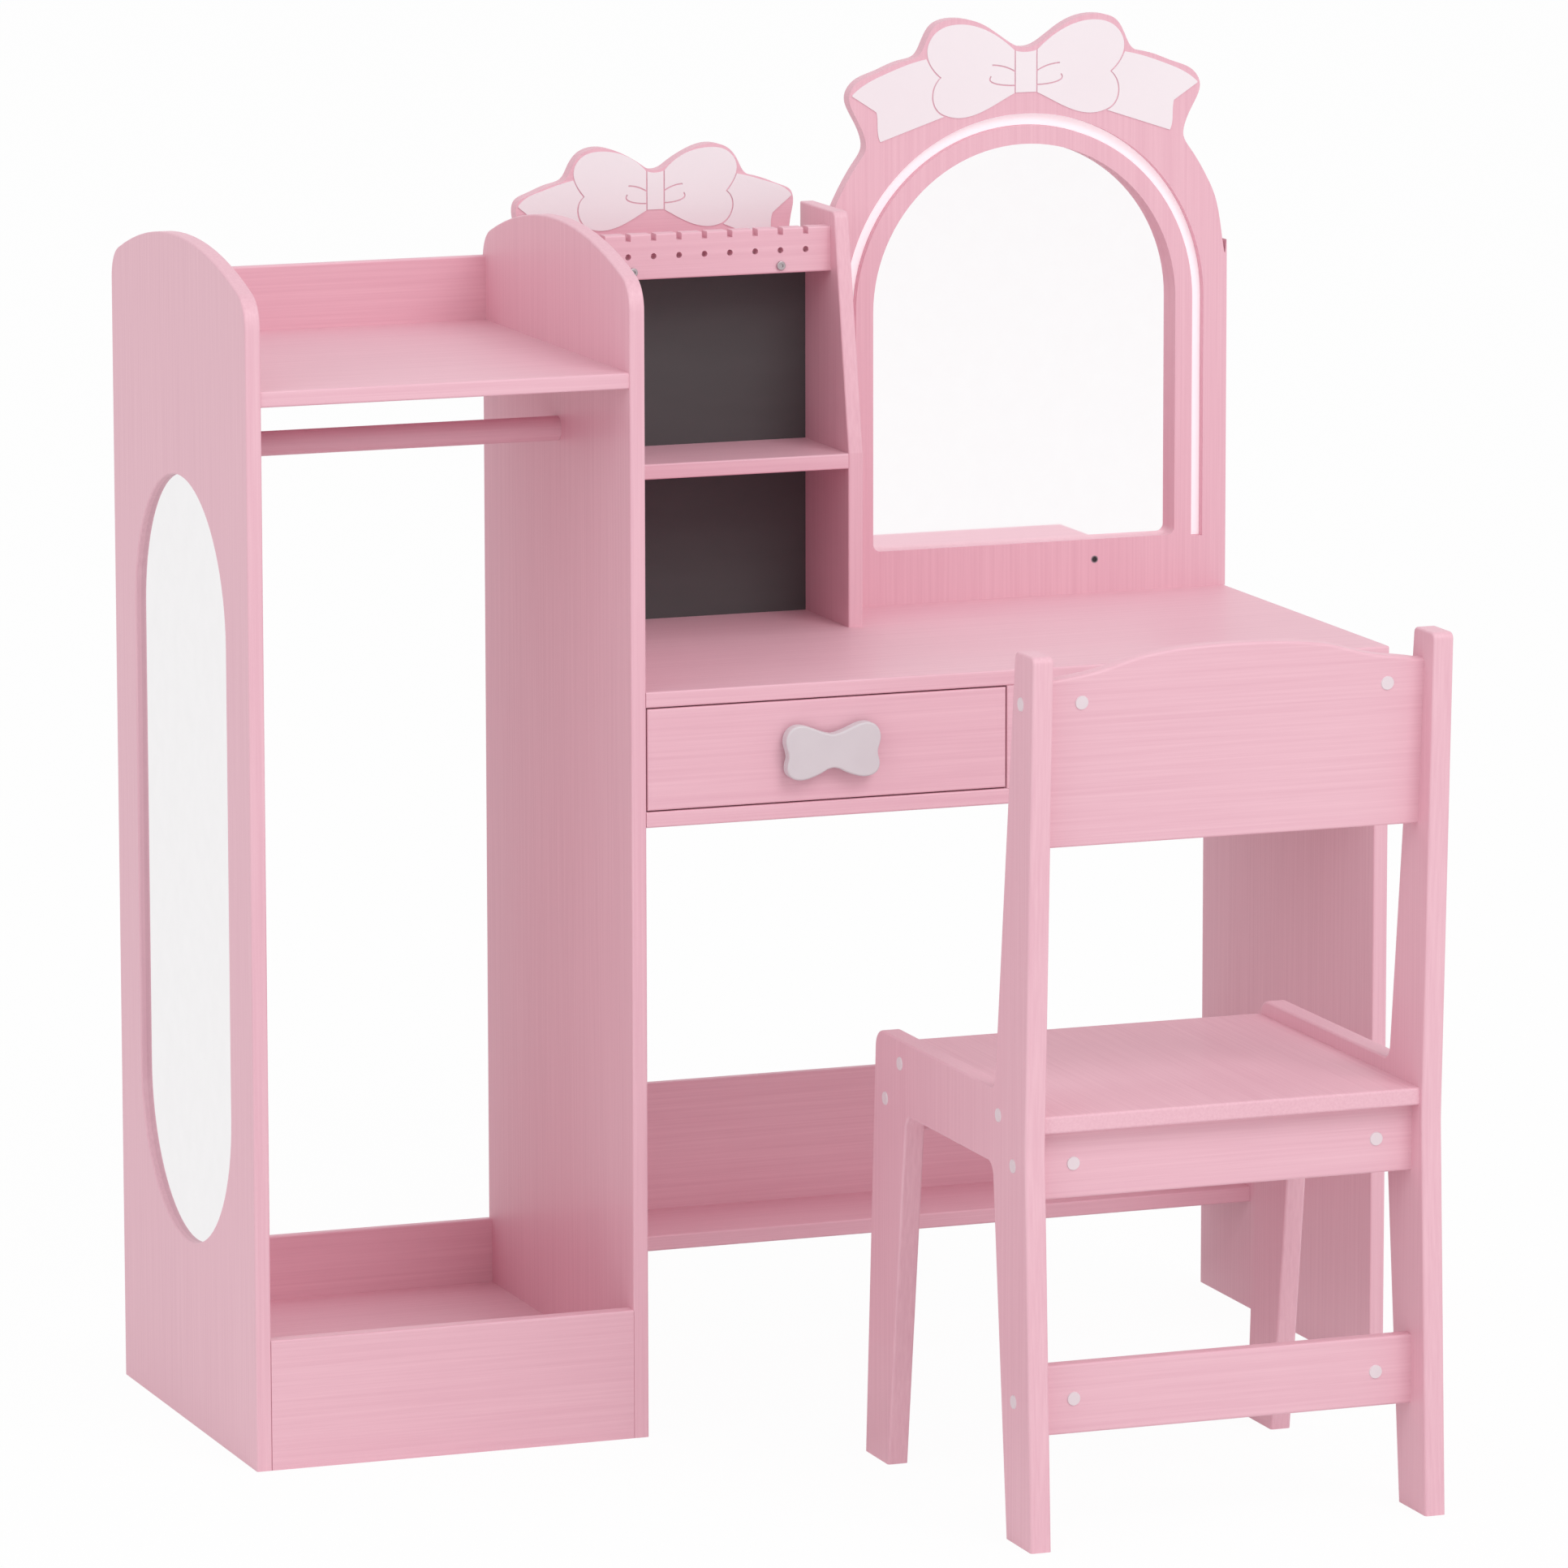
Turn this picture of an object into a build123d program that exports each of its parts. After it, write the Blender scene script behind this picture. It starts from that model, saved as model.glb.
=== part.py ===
from build123d import *
import math
import os

os.makedirs("parts", exist_ok=True)

# All sizes are millimetres. X runs to the right of someone facing the mirror, Y runs away
# from them, Z runs up. The origin is on the floor, midway across the table and midway
# between the chair's back feet and the back of the mirror.

# Boards
board = 12.0
back_board = 8.0
edge_round = 1.5

# Table footprint
table_width = 919.0
panel_depth = 340.0

# Wardrobe
wardrobe_inside = 287.4
panel_peak = 911.5
crown_radius = 455.0
crown_corner = 26.0
kick_height = 99.5
bottom_shelf_top = 51.0
top_shelf_top = 814.2
top_shelf_setback = 1.7
lower_back_top = 101.6
upper_back_top = 864.2
rod_radius = 9.4
rod_height = 751.5
rod_from_front = 165.0
rod_socket = 6.0

# Long mirror in the left panel
oval_width = 230.0
oval_height = 588.0
oval_from_front = 172.0
oval_centre_height = 436.0
oval_lip = 4.5
oval_rebate = 9.0
mirror_sheet = 3.0
oval_clip_length = 16.0
oval_clip_width = 10.0
oval_clip_screw_offset = 4.0

# Desk
desk_height = 572.5
drawer_bay = 291.0
drawer_bay_height = 79.3
lower_shelf_top = 98.8
lower_shelf_front = 239.3
lower_shelf_back_top = 200.5

# Tower between the wardrobe and the mirror
tower_inside = 250.6
tower_front = 232.5
tower_top = 894.4
tower_lean = 31.8
tower_corner = 6.0
tower_shelf_top = 709.2
tower_roof_top = 859.4
chalkboard_front = 327.8

# Necklace rack
rack_front = 271.3
rack_height = 35.2
rack_pitch = 20.9
rack_count = 11
rack_hole_radius = 2.4
rack_hole_drop = 17.2
rack_notch_width = 4.4
rack_notch_depth = 5.3
rack_bolt_offsets = (-38.0, 83.7)
rack_bolt_radius = 2.0
rack_bolt_head = 3.6
rack_bolt_head_height = 2.0
rack_bolt_reach = 30.0

# Mirror board
mirror_face = 325.6
opening_inset = 44.1
opening_top = 933.4
opening_bottom = 615.5
opening_corner = 6.0
sheet_margin = 3.5
backing_margin = 13.0
backing_thickness = 6.0

# Small screws that hold both mirrors
screw_seat = 1.5
mirror_screw_radius = 1.4
mirror_screw_head = 2.8
mirror_screw_head_height = 1.5
mirror_screw_reach = 5.0

# Light strip round the mirror and its touch switch
strip_inset = 24.8
strip_width = 9.6
strip_depth = 6.7
strip_thickness = 2.5
strip_foot = 613.6
switch_offset = 60.0
switch_height = 599.3
switch_radius = 2.9
switch_window_radius = 1.9
switch_window_inset = 0.5
controller_length = 45.0
controller_height = 23.0
controller_thickness = 8.0
controller_drop = 6.3
socket_width = 9.0
socket_height = 3.2
socket_depth = 5.0
lead_radius = 1.3
lead_bend = 14.0
lead_drop = 9.0
lead_rise = 12.0

# White bows on the two boards
bow_thickness = 0.8
bow_line = 1.1

# Drawer
front_gap = 1.0
drawer_side = 9.0
drawer_height = 58.0
drawer_lift = 8.0
drawer_depth = 280.0
drawer_bottom_thickness = 3.0
drawer_bottom_lift = 8.0
drawer_groove = 4.0
drawer_peg_radius = 2.0
drawer_peg_depth = 6.0
runner_space = 12.0
runner_length = 250.0
runner_set_back = 1.0
runner_height = 27.0
runner_steel = 1.2
runner_flange = 9.0
runner_play = 0.3
runner_screw_radius = 1.75
runner_screw_head = 3.4
runner_screw_head_height = 1.5
runner_screw_reach = 7.0

# Bow shaped knob
knob_thickness = 9.0
knob_standoff = 4.0
knob_round = 1.6
knob_post_radius = 5.0
knob_post_spacing = 34.0
knob_screw_radius = 2.0
knob_screw_head = 4.0
knob_screw_head_height = 2.5
knob_screw_reach = 5.0

# Wooden pegs and cam fittings
slip = 0.1
peg_radius = 2.5
peg_in_panel = 8.0
peg_in_board = 10.0
cam_radius = 7.4
cam_height = 10.5
cam_reach = 24.0
cam_bolt_thread_radius = 2.5
cam_bolt_thread = 9.0
cam_bolt_radius = 1.9
cam_bolt_head = 3.2
cam_bolt_head_length = 4.0
cam_slot_width = 1.4
cam_slot_depth = 1.5

# Chair
chair_gap = 98.5
chair_depth = 336.0
chair_left_offset = -10.2
chair_side_board = 16.0
chair_inside = 296.0
chair_arm_height = 329.5
chair_rail_height = 274.0
chair_post_height = 657.0
chair_post_top_width = 36.1
chair_waist_height = 295.0
chair_waist_inset = 13.7
chair_arm_front = 21.2
chair_post_front = 261.5
front_foot_width = 47.9
front_leg_top_back = 83.8
rear_leg_top_front = 258.0
rear_foot_width = 49.4
post_round = 5.0
arm_front_round = 14.0
inner_round = 10.0
under_round = 11.0
waist_round = 150.0
chair_edge_round = 2.0
seat_board = 13.0
seat_top = 318.2
seat_front_inset = 20.4
seat_back_inset = 17.2
rail_board = 12.0
seat_rail_height = 51.2
rear_rail_inset = 31.0
front_rail_inset = 35.9
lower_rail_inset = 28.5
lower_rail_bottom = 79.3
lower_rail_height = 52.0
back_slab_bottom = 513.3
back_slab_end_rise = 123.0
back_slab_crown = 20.2
slab_crown_half = [(0, 1.0), (0.27, 0.94), (0.53, 0.67), (0.7, 0.32), (0.94, 0.04), (1, 0)]
slab_crown = [(-across, rise) for across, rise in slab_crown_half[:0:-1]] + slab_crown_half
back_slab_inset = 25.1
back_slab_lean = 3.9
back_slab_bolt_rise = 106.5

# Chair fittings
chair_bolt_radius = 3.0
seat_front_bolt = 72.0
seat_rear_bolt = 270.3
chair_bolt_head = 4.7
chair_bolt_head_height = 3.6
chair_bolt_recess = 5.5
chair_bolt_reach = 34.0
nut_radius = 4.9
nut_length = 7.6
nut_inset = 28.5
nut_bore_extra = 0.4
cap_radius = 5.2
cap_thickness = 0.9
cap_plug = 1.4

# Places worked out from the sizes above
x_left = -table_width / 2
left_inner = x_left + board
middle_left = left_inner + wardrobe_inside
middle_right = middle_left + board
x_right = table_width / 2
right_inner = x_right - board
tower_inner = middle_right + tower_inside
tower_outer = tower_inner + board
divider_left = middle_right + drawer_bay
divider_right = divider_left + board
table_reach = mirror_face + board + backing_thickness
y_front = (chair_gap + chair_depth - table_reach) / 2
y_back = y_front + panel_depth
back_boards_y = y_back - back_board
mirror_y = y_front + mirror_face
mirror_back_y = mirror_y + board
desk_underside = desk_height - board
drawer_floor = desk_underside - drawer_bay_height
rack_y = y_front + rack_front
rack_bottom = tower_roof_top - board
mirror_x = (tower_outer + x_right) / 2
mirror_half = (x_right - tower_outer) / 2
opening_radius = mirror_half - opening_inset
strip_radius = mirror_half - strip_inset
opening_spring = opening_top - opening_radius
tower_x = (middle_right + tower_inner) / 2
chair_y = y_front - chair_gap
chair_left = chair_left_offset
chair_left_inner = chair_left + chair_side_board
chair_right_inner = chair_left_inner + chair_inside
chair_right = chair_right_inner + chair_side_board
chair_x = (chair_left + chair_right) / 2

CORNER = (Align.MIN, Align.MIN, Align.MIN)
ON_PLANE = (Align.CENTER, Align.CENTER, Align.MIN)


def block(x, y, z, width, depth, height, mode=Mode.ADD):
    """A box from its lowest left front corner."""
    with Locations((x, y, z)):
        Box(width, depth, height, align=CORNER, mode=mode)


def rounds(planes, radius, start, end, mode=Mode.ADD):
    """A cylinder standing on each plane, from one height above it to another."""
    with Locations(*[plane.offset(start) for plane in planes]):
        Cylinder(radius, end - start, align=ON_PLANE, mode=mode)


def cones(planes, bottom_radius, top_radius, start, end, mode=Mode.ADD):
    """A cone standing on each plane, from one height above it to another."""
    with Locations(*[plane.offset(start) for plane in planes]):
        Cone(bottom_radius, top_radius, end - start, align=ON_PLANE, mode=mode)


def facing(points, direction):
    """A plane at each point, its axis along the direction."""
    return [Plane(origin=point, z_dir=direction) for point in points]


def drill_pegs(planes):
    """The two blind holes of each peg, measured from the plane where the boards meet."""
    rounds(planes, peg_radius + slip, -peg_in_panel - slip, peg_in_board + slip, Mode.SUBTRACT)


def joint_planes(faces, places):
    """Planes on the panel faces, each looking into the board that meets it there."""
    planes = []
    for x, side in faces:
        planes += facing([(x, y, z) for y, z in places], (side, 0, 0))
    return planes


def cam_seats(planes):
    """Bores for the cam bolts in a shelf's ends and pockets for the cams in its underside."""
    rounds(planes, cam_bolt_head + slip, 0, cam_reach, Mode.SUBTRACT)
    centres = [plane.offset(cam_reach).origin for plane in planes]
    pockets = facing([(c.X, c.Y, c.Z - board / 2) for c in centres], (0, 0, 1))
    rounds(pockets, cam_radius + slip, 0, cam_height + slip, Mode.SUBTRACT)


def cam_threads(planes):
    """Holes in a panel for the threads of the cam bolts."""
    rounds(planes, cam_bolt_thread_radius + slip, -cam_bolt_thread - slip, 0, Mode.SUBTRACT)


def soften_fronts(part, y):
    """Round the long edges at the front of a board whose front face is at y."""
    fronts = part.faces().filter_by(Axis.Y).sort_by(Axis.Y)[0]
    fillet(fronts.edges().filter_by(Axis.X), edge_round)


# Joints between the boards, as places across the depth and height of the panels
wardrobe_faces = [(left_inner, 1), (middle_left, -1)]
desk_faces = [(middle_right, 1), (right_inner, -1)]
tower_faces = [(middle_right, 1), (tower_inner, -1)]
front_cam = y_front + 45.0
rear_cam = y_back - 70.0
tower_front_cam = y_front + tower_front + 22.0
tower_rear_cam = y_front + chalkboard_front - 20.0
roof_cam = (rack_y + board + mirror_y) / 2
lower_front_cam = y_front + lower_shelf_front + 20.0
lower_rear_cam = back_boards_y - 20.0

wardrobe_middle_z = (lower_back_top + top_shelf_top - board) / 2
wardrobe_cams = joint_planes(
    wardrobe_faces,
    [(y, top - board / 2) for top in (bottom_shelf_top, top_shelf_top) for y in (front_cam, rear_cam)],
)
desk_top_cams = joint_planes(desk_faces[:1], [(y, desk_height - board / 2) for y in (front_cam, rear_cam)])
drawer_floor_cams = joint_planes(
    desk_faces, [(y, drawer_floor - board / 2) for y in (front_cam, rear_cam)]
)
lower_shelf_cams = joint_planes(
    desk_faces, [(y, lower_shelf_top - board / 2) for y in (lower_front_cam, lower_rear_cam)]
)
tower_shelf_cams = joint_planes(
    tower_faces, [(y, tower_shelf_top - board / 2) for y in (tower_front_cam, tower_rear_cam)]
)
tower_roof_cams = joint_planes(tower_faces, [(roof_cam, tower_roof_top - board / 2)])
all_cams = (
    wardrobe_cams
    + desk_top_cams
    + drawer_floor_cams
    + lower_shelf_cams
    + tower_shelf_cams
    + tower_roof_cams
)

peg_margin = 12.0
peg_inset = 25.0
crest_peg_offset = 80.0
tower_rear_peg_drop = 110.0
tower_rear_peg_rise = 60.0
back_peg_y = back_boards_y + back_board / 2
wardrobe_pegs = joint_planes(
    wardrobe_faces,
    [
        (y_front + board / 2, bottom_shelf_top - board - peg_margin),
        (y_front + board / 2, kick_height - peg_margin),
        (back_peg_y, bottom_shelf_top + peg_margin),
        (back_peg_y, lower_back_top - peg_margin),
        (back_peg_y, top_shelf_top + peg_margin),
        (back_peg_y, upper_back_top - peg_margin),
    ],
)
desk_pegs = joint_planes(
    desk_faces,
    [
        (back_peg_y, drawer_floor + peg_margin),
        (back_peg_y, desk_underside - peg_margin),
        (back_peg_y, lower_shelf_top + peg_margin),
        (back_peg_y, lower_shelf_back_top - peg_margin),
    ],
)
chalk_peg_y = y_front + chalkboard_front + back_board / 2
chalkboard_pegs = joint_planes(
    tower_faces,
    [(chalk_peg_y, desk_height + 3 * peg_margin), (chalk_peg_y, rack_bottom - 3 * peg_margin)],
)
mirror_side_peg_heights = (desk_height + tower_rear_peg_rise, tower_top - tower_rear_peg_drop)
mirror_side_pegs = facing(
    [(tower_outer, mirror_y + board / 2, z) for z in mirror_side_peg_heights],
    (1, 0, 0),
)
right_panel_pegs = facing(
    [(x_right - board / 2, y, desk_underside) for y in (front_cam, rear_cam)], (0, 0, -1)
)
tower_panel_pegs = facing(
    [(tower_inner + board / 2, y_front + y, desk_height) for y in (tower_front + peg_inset, chalkboard_front)],
    (0, 0, 1),
)
mirror_foot_peg_places = (tower_outer + peg_inset, mirror_x, x_right - peg_inset)
mirror_foot_pegs = facing(
    [(x, mirror_y + board / 2, desk_height) for x in mirror_foot_peg_places],
    (0, 0, 1),
)
divider_pegs = facing(
    [(divider_left + board / 2, y, desk_underside) for y in (front_cam, rear_cam)], (0, 0, -1)
) + facing([(divider_left + board / 2, y, drawer_floor) for y in (front_cam, rear_cam)], (0, 0, 1))
crest_pegs = facing(
    [(tower_x + x, mirror_y, tower_roof_top - board / 2) for x in (-crest_peg_offset, 0, crest_peg_offset)],
    (0, -1, 0),
)
all_pegs = (
    wardrobe_pegs
    + desk_pegs
    + chalkboard_pegs
    + mirror_side_pegs
    + right_panel_pegs
    + tower_panel_pegs
    + mirror_foot_pegs
    + divider_pegs
    + crest_pegs
)

# Runner fixings, on the walls of the drawer bay
runner_z = drawer_floor + drawer_lift + drawer_height / 2
runner_y = y_front + board + runner_set_back
runner_screw_places = [(runner_y + runner_length * share, runner_z) for share in (0.1, 0.5, 0.9)]
bay_faces = [(middle_right, 1), (divider_left, -1)]
runner_screws_at = joint_planes(bay_faces, runner_screw_places)


def drill_runner_screws(planes):
    """Blind pilot holes behind the runners' screws."""
    rounds(planes, runner_screw_radius + slip, -runner_screw_reach - slip, 0, Mode.SUBTRACT)



def panel_outline():
    """Side panel seen from the side: straight edges under a low crown with rounded shoulders."""
    half = panel_depth / 2
    crown_z = panel_peak - crown_radius
    reach = crown_radius - crown_corner
    shoulder_z = crown_z + math.sqrt(reach**2 - (half - crown_corner) ** 2)
    share = crown_radius / reach
    meet_y = (half - crown_corner) * share
    meet_z = crown_z + (shoulder_z - crown_z) * share
    with BuildSketch() as outline:
        with BuildLine():
            Line((-half, 0), (half, 0))
            Line((half, 0), (half, shoulder_z))
            TangentArc((half, shoulder_z), (meet_y, meet_z), tangent=(0, 1))
            ThreePointArc((meet_y, meet_z), (0, panel_peak), (-meet_y, meet_z))
            TangentArc((-half, shoulder_z), (-meet_y, meet_z), tangent=(0, 1))
            Line((-half, shoulder_z), (-half, 0))
        make_face()
    return outline.sketch


panel_centre_y = y_front + panel_depth / 2


def panel_plane(x):
    """Upright plane at x, its first axis along Y and its origin under the panel's middle."""
    return Plane(origin=(x, panel_centre_y, 0), x_dir=(0, 1, 0), z_dir=(1, 0, 0))


def oval(margin):
    """The long mirror's outline, grown by a margin."""
    with BuildSketch() as outline:
        with Locations((oval_from_front - panel_depth / 2, oval_centre_height)):
            SlotOverall(oval_height + 2 * margin, oval_width + 2 * margin, rotation=90)
    return outline.sketch


rod_socket_at = joint_planes(wardrobe_faces, [(y_front + rod_from_front, rod_height)])
oval_y = y_front + oval_from_front
oval_turn = (oval_height - oval_width) / 2
oval_clip_reach = oval_width / 2 + oval_rebate
oval_clip_places = [
    (oval_y + side * oval_clip_reach, oval_centre_height + rise)
    for side in (-1, 1)
    for rise in (-oval_turn, 0, oval_turn)
]
clip_screws_at = facing(
    [
        (left_inner + screw_seat, y + math.copysign(oval_clip_screw_offset, y - oval_y), z)
        for y, z in oval_clip_places
    ],
    (1, 0, 0),
)
mirror_screw_length = screw_seat + mirror_screw_reach

# Wardrobe
with BuildPart() as left_side_panel:
    with BuildSketch(panel_plane(x_left)):
        add(panel_outline())
    extrude(amount=board)
    rims = left_side_panel.faces().filter_by(Axis.X).edges().filter_by_position(Axis.Z, 1, panel_peak)
    fillet(rims, edge_round)
    with BuildSketch(panel_plane(x_left)):
        add(oval(0))
    extrude(amount=board, mode=Mode.SUBTRACT)
    with BuildSketch(panel_plane(x_left + oval_lip)):
        add(oval(oval_rebate))
    extrude(amount=board, mode=Mode.SUBTRACT)
    outer_face = left_side_panel.faces().filter_by(Axis.X).sort_by(Axis.X)[0]
    fillet(outer_face.inner_wires().edges(), edge_round)
    cam_threads(wardrobe_cams[:4])
    drill_pegs(wardrobe_pegs[:6])
    rounds(rod_socket_at[:1], rod_radius + slip, -rod_socket, 0, Mode.SUBTRACT)
    rounds(clip_screws_at, mirror_screw_radius + slip, -mirror_screw_length - slip, 0, Mode.SUBTRACT)

with BuildPart() as oval_mirror:
    with BuildSketch(panel_plane(x_left + oval_lip)):
        add(oval(oval_rebate - slip))
    extrude(amount=mirror_sheet)

with BuildPart() as oval_mirror_backing:
    with BuildSketch(panel_plane(x_left + oval_lip + mirror_sheet)):
        add(oval(oval_rebate - slip))
    extrude(amount=board - oval_lip - mirror_sheet)

with BuildPart() as oval_mirror_clips:
    for y, z in oval_clip_places:
        block(
            left_inner,
            y - oval_clip_length / 2,
            z - oval_clip_width / 2,
            screw_seat,
            oval_clip_length,
            oval_clip_width,
        )
    fillet(oval_mirror_clips.edges().filter_by(Axis.X), oval_clip_width / 4)
    rounds(clip_screws_at, mirror_screw_radius + slip, -screw_seat, 0, Mode.SUBTRACT)

with BuildPart() as middle_panel:
    with BuildSketch(panel_plane(middle_left)):
        add(panel_outline())
    extrude(amount=board)
    rims = middle_panel.faces().filter_by(Axis.X).edges().filter_by_position(Axis.Z, 1, panel_peak)
    fillet(rims, edge_round)
    cam_threads(wardrobe_cams[4:])
    drill_pegs(wardrobe_pegs[6:])
    rounds(rod_socket_at[1:], rod_radius + slip, -rod_socket, 0, Mode.SUBTRACT)
    cam_threads([p for p in all_cams if abs(p.origin.X - middle_right) < board / 2])
    drill_pegs([p for p in desk_pegs + chalkboard_pegs if abs(p.origin.X - middle_right) < board / 2])
    drill_runner_screws(runner_screws_at[:3])

with BuildPart() as wardrobe_top_shelf:
    block(
        left_inner,
        y_front + top_shelf_setback,
        top_shelf_top - board,
        wardrobe_inside,
        panel_depth - top_shelf_setback,
        board,
    )
    soften_fronts(wardrobe_top_shelf, y_front + top_shelf_setback)
    cam_seats([p for p in wardrobe_cams if p.origin.Z > wardrobe_middle_z])

with BuildPart() as wardrobe_upper_back:
    upper_back_height = upper_back_top - top_shelf_top
    block(left_inner, back_boards_y, top_shelf_top, wardrobe_inside, back_board, upper_back_height)
    fillet(wardrobe_upper_back.edges().filter_by(Axis.X).group_by(Axis.Z)[-1], edge_round)
    drill_pegs([p for p in wardrobe_pegs if p.origin.Z > wardrobe_middle_z])

with BuildPart() as wardrobe_bottom_shelf:
    block(
        left_inner,
        y_front + board,
        bottom_shelf_top - board,
        wardrobe_inside,
        panel_depth - board,
        board,
    )
    cam_seats([p for p in wardrobe_cams if p.origin.Z < wardrobe_middle_z])

with BuildPart() as wardrobe_lower_back:
    lower_back_height = lower_back_top - bottom_shelf_top
    block(left_inner, back_boards_y, bottom_shelf_top, wardrobe_inside, back_board, lower_back_height)
    fillet(wardrobe_lower_back.edges().filter_by(Axis.X).group_by(Axis.Z)[-1], edge_round)
    lower_pegs = [p for p in wardrobe_pegs if p.origin.Z < wardrobe_middle_z]
    drill_pegs([p for p in lower_pegs if p.origin.Y > y_front + board])

with BuildPart() as kick_board:
    block(left_inner, y_front, 0, wardrobe_inside, board, kick_height)
    fillet(kick_board.edges().filter_by(Axis.X).group_by(Axis.Z)[-1], edge_round)
    drill_pegs([p for p in wardrobe_pegs if p.origin.Z < kick_height and p.origin.Y < y_front + board])

with BuildPart() as hanging_rod:
    rounds(rod_socket_at[:1], rod_radius, slip - rod_socket, wardrobe_inside + rod_socket - slip)

# Desk
with BuildPart() as desk_top:
    block(middle_right, y_front, desk_underside, x_right - middle_right, panel_depth, board)
    fillet(desk_top.edges().filter_by_position(Axis.X, middle_right + 1, x_right + 1), edge_round)
    cam_seats(desk_top_cams)
    drill_pegs(right_panel_pegs + tower_panel_pegs + mirror_foot_pegs + divider_pegs[:2])

with BuildPart() as drawer_shelf:
    block(middle_right, y_front, drawer_floor - board, right_inner - middle_right, panel_depth, board)
    soften_fronts(drawer_shelf, y_front)
    cam_seats(drawer_floor_cams)
    drill_pegs(divider_pegs[2:])

with BuildPart() as desk_divider:
    block(divider_left, y_front, drawer_floor, board, panel_depth - back_board, drawer_bay_height)
    fillet(desk_divider.edges().filter_by(Axis.Z).group_by(Axis.Y)[0], edge_round)
    drill_pegs(divider_pegs)
    drill_runner_screws(runner_screws_at[3:])

with BuildPart() as desk_rear_board:
    block(
        middle_right,
        back_boards_y,
        drawer_floor,
        right_inner - middle_right,
        back_board,
        drawer_bay_height,
    )
    drill_pegs([p for p in desk_pegs if p.origin.Z > drawer_floor])

with BuildPart() as right_side_panel:
    block(right_inner, y_front, 0, board, panel_depth, desk_underside)
    fillet(right_side_panel.edges().filter_by(Axis.Z), edge_round)
    cam_threads([p for p in all_cams if abs(p.origin.X - right_inner) < board / 2])
    drill_pegs([p for p in desk_pegs if abs(p.origin.X - right_inner) < board / 2] + right_panel_pegs)

with BuildPart() as lower_rear_shelf:
    block(
        middle_right,
        y_front + lower_shelf_front,
        lower_shelf_top - board,
        right_inner - middle_right,
        back_boards_y - y_front - lower_shelf_front,
        board,
    )
    soften_fronts(lower_rear_shelf, y_front + lower_shelf_front)
    cam_seats(lower_shelf_cams)

with BuildPart() as lower_rear_back:
    block(
        middle_right,
        back_boards_y,
        lower_shelf_top - board,
        right_inner - middle_right,
        back_board,
        lower_shelf_back_top - lower_shelf_top + board,
    )
    fillet(lower_rear_back.edges().filter_by(Axis.X).group_by(Axis.Z)[-1], edge_round)
    drill_pegs([p for p in desk_pegs if p.origin.Z < drawer_floor])

# Tower
with BuildPart() as tower_side_panel:
    with BuildSketch(Plane(origin=(tower_inner, y_front, 0), x_dir=(0, 1, 0), z_dir=(1, 0, 0))):
        with BuildLine():
            Polyline(
                (tower_front, desk_height),
                (panel_depth, desk_height),
                (panel_depth, tower_top),
                (tower_front + tower_lean, tower_top),
                (tower_front, tower_shelf_top),
                close=True,
            )
        make_face()
    extrude(amount=board)
    top_corner = tower_side_panel.edges().filter_by(Axis.X).group_by(Axis.Z)[-1].sort_by(Axis.Y)[0]
    fillet(top_corner, tower_corner)
    rims = tower_side_panel.faces().filter_by(Axis.X).edges()
    fillet(rims.filter_by_position(Axis.Z, desk_height + 1, tower_top + 1), edge_round)
    cam_threads([p for p in all_cams if abs(p.origin.X - tower_inner) < board / 2])
    drill_pegs([p for p in chalkboard_pegs if p.origin.X > tower_x] + tower_panel_pegs + mirror_side_pegs)

with BuildPart() as tower_shelf:
    block(
        middle_right,
        y_front + tower_front,
        tower_shelf_top - board,
        tower_inside,
        chalkboard_front - tower_front,
        board,
    )
    soften_fronts(tower_shelf, y_front + tower_front)
    cam_seats(tower_shelf_cams)

rack_bolts_at = facing(
    [(tower_x + x, rack_y, tower_roof_top - board / 2) for x in rack_bolt_offsets], (0, -1, 0)
)

with BuildPart() as tower_roof:
    block(middle_right, rack_y + board, rack_bottom, tower_inside, mirror_y - rack_y - board, board)
    cam_seats(tower_roof_cams)
    rounds(rack_bolts_at, rack_bolt_radius + slip, -rack_bolt_reach - slip, 0, Mode.SUBTRACT)
    drill_pegs(crest_pegs)

with BuildPart() as chalkboard:
    block(
        middle_right,
        y_front + chalkboard_front,
        desk_height,
        tower_inside,
        back_board,
        rack_bottom - desk_height,
    )
    drill_pegs(chalkboard_pegs)

rack_places = [tower_x + rack_pitch * (i - (rack_count - 1) / 2) for i in range(rack_count)]
rack_top = rack_bottom + rack_height

with BuildPart() as necklace_rack:
    block(middle_right, rack_y, rack_bottom, tower_inside, board, rack_height)
    soften_fronts(necklace_rack, rack_y)
    for x in rack_places:
        block(
            x - rack_notch_width / 2,
            rack_y,
            rack_top - rack_notch_depth,
            rack_notch_width,
            board,
            rack_notch_depth,
            Mode.SUBTRACT,
        )
    rack_holes = facing([(x, rack_y, rack_top - rack_hole_drop) for x in rack_places], (0, 1, 0))
    rounds(rack_holes, rack_hole_radius, 0, board, Mode.SUBTRACT)
    rounds(rack_bolts_at, rack_bolt_radius + slip, -board, 0, Mode.SUBTRACT)

with BuildPart() as rack_bolts:
    rounds(rack_bolts_at, rack_bolt_radius, -rack_bolt_reach, 0)
    rounds(rack_bolts_at, rack_bolt_head, 0, rack_bolt_head_height)
    fillet(rack_bolts.edges().filter_by(GeomType.CIRCLE).group_by(Axis.Y)[0], rack_bolt_head_height / 3)
    for plane in rack_bolts_at:
        with BuildSketch(plane.offset(rack_bolt_head_height)):
            RegularPolygon(rack_bolt_head / 2, 6)
        extrude(amount=-rack_bolt_head_height / 2, mode=Mode.SUBTRACT)


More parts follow.
